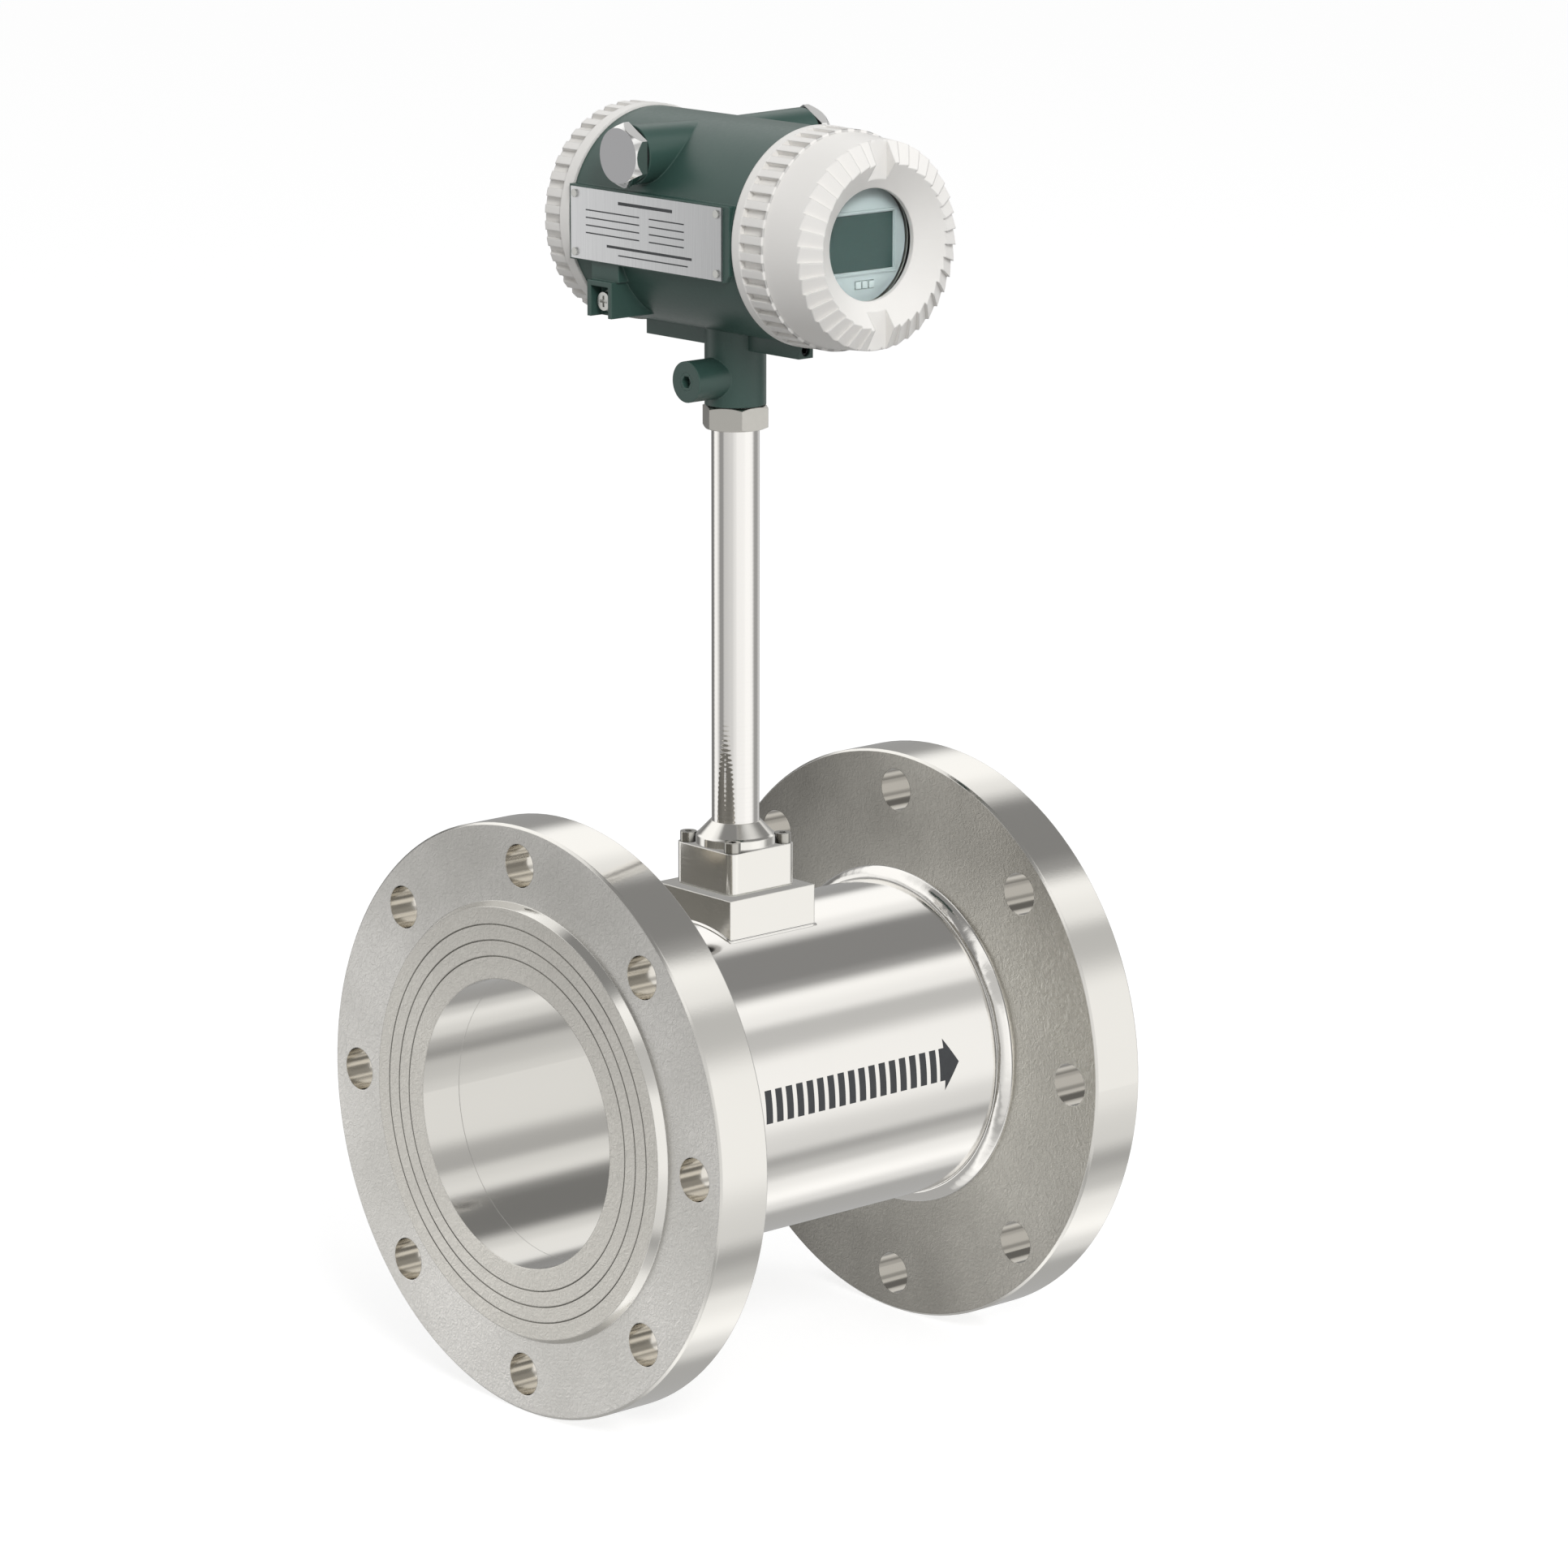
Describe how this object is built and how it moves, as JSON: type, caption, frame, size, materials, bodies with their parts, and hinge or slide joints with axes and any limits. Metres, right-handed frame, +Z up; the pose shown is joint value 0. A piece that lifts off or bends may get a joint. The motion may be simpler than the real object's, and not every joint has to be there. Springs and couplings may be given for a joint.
{
  "type": "vortex flow meter",
  "caption": "Flanged in-line vortex flow meter: a pipe run with shedder bar and sensor probe, and a turning display head with screw-on covers on a stem.",
  "frame": {"origin": "centre of the inlet flange's sealing face, on the pipe's axis", "axes": "+X is the flow, from inlet to outlet; +Z points up the stem to the head; the display faces -Y"},
  "size_m": [0.2, 0.207, 0.4399],
  "materials": {
    "polished_pipe": "polished stainless steel",
    "turned_flange": "turned stainless steel, fine satin",
    "weld": "dressed weld",
    "stainless": "machined stainless steel",
    "fastener_steel": "bright zinc or stainless",
    "green_paint": "dark green powder coat on cast aluminium",
    "white_paint": "warm white powder coat on cast aluminium",
    "plate_metal": "brushed plate",
    "window": "clear toughened glass",
    "bezel_film": "pale grey-green film",
    "lcd": "switched-off liquid crystal panel",
    "key_rubber": "pale grey key caps",
    "circuit_board": "solder mask",
    "module_case": "potted module case",
    "terminal_plastic": "black terminal block",
    "seal_rubber": "black rubber",
    "gasket_sheet": "grey gasket sheet",
    "lead_sleeve": "black lead sleeve",
    "spacer_brass": "plain brass"
  },
  "bodies": {
    "meter": {"meter_tube": "polished_pipe", "inlet_flange": "turned_flange", "outlet_flange": "turned_flange", "inlet_weld": "weld", "outlet_weld": "weld", "shedder_bar": "stainless", "sensor_seat": "stainless", "sensor_gasket": "gasket_sheet", "sensor_bonnet": "stainless", "bonnet_screws": "fastener_steel", "sensor_probe": "stainless", "probe_seal": "seal_rubber", "probe_lead": "lead_sleeve", "stem_base": "stainless", "stem_tube": "polished_pipe", "stem_nut": "stainless"},
    "head": {"head_housing": "green_paint", "neck_lock_screw": "green_paint", "cover_lock_screw": "module_case", "lead_bushing": "module_case", "electronics_module": "module_case", "board_spacers": "spacer_brass", "display_board": "circuit_board", "display_screws": "fastener_steel", "lcd_panel": "lcd", "display_bezel": "bezel_film", "terminal_board": "circuit_board", "board_screws": "fastener_steel", "terminal_block": "terminal_plastic", "terminal_screws": "fastener_steel", "conduit_plug_left": "fastener_steel", "conduit_plug_right": "fastener_steel", "plug_seals": "seal_rubber", "name_plate": "plate_metal", "plate_rivets": "fastener_steel", "ground_screw": "fastener_steel", "ground_washer": "fastener_steel"},
    "front_cover_thread": {"front_cover_seal": "seal_rubber"},
    "front_cover": {"front_cover": "white_paint", "window_glass": "window", "glass_ring": "plate_metal"},
    "rear_cover_thread": {"rear_cover_seal": "seal_rubber"},
    "rear_cover": {"rear_cover": "white_paint"},
    "key_left": {"key_left": "key_rubber"},
    "key_middle": {"key_middle": "key_rubber"},
    "key_right": {"key_right": "key_rubber"}
  },
  "joints": [
    {"name": "head_swivel", "type": "hinge", "parent": "meter", "child": "head", "pos_m": [0.1, 0, 0.299], "axis": [0, 0, 1], "range_deg": [-170, 170]},
    {"name": "front_cover_travel", "type": "slide", "parent": "head", "child": "front_cover_thread", "axis": [0, -1, 0], "range_m": [0, 0.0112]},
    {"name": "front_cover_turn", "type": "hinge", "parent": "front_cover_thread", "child": "front_cover", "pos_m": [0.1, 0, 0.299], "axis": [0, -1, 0], "range_deg": [0, 1980]},
    {"name": "rear_cover_travel", "type": "slide", "parent": "head", "child": "rear_cover_thread", "axis": [0, 1, 0], "range_m": [0, 0.0112]},
    {"name": "rear_cover_turn", "type": "hinge", "parent": "rear_cover_thread", "child": "rear_cover", "pos_m": [0.1, 0, 0.299], "axis": [0, 1, 0], "range_deg": [0, 1980]},
    {"name": "key_left_press", "type": "slide", "parent": "head", "child": "key_left", "axis": [0, 1, 0], "range_m": [0, 0.0005], "stiffness_N_per_m": 400},
    {"name": "key_middle_press", "type": "slide", "parent": "head", "child": "key_middle", "axis": [0, 1, 0], "range_m": [0, 0.0005], "stiffness_N_per_m": 400},
    {"name": "key_right_press", "type": "slide", "parent": "head", "child": "key_right", "axis": [0, 1, 0], "range_m": [0, 0.0005], "stiffness_N_per_m": 400}
  ],
  "couplings": [
    {"joint": "front_cover_travel", "follows": "front_cover_turn", "m_per_rad": 0.00031831},
    {"joint": "rear_cover_travel", "follows": "rear_cover_turn", "m_per_rad": 0.00031831}
  ]
}
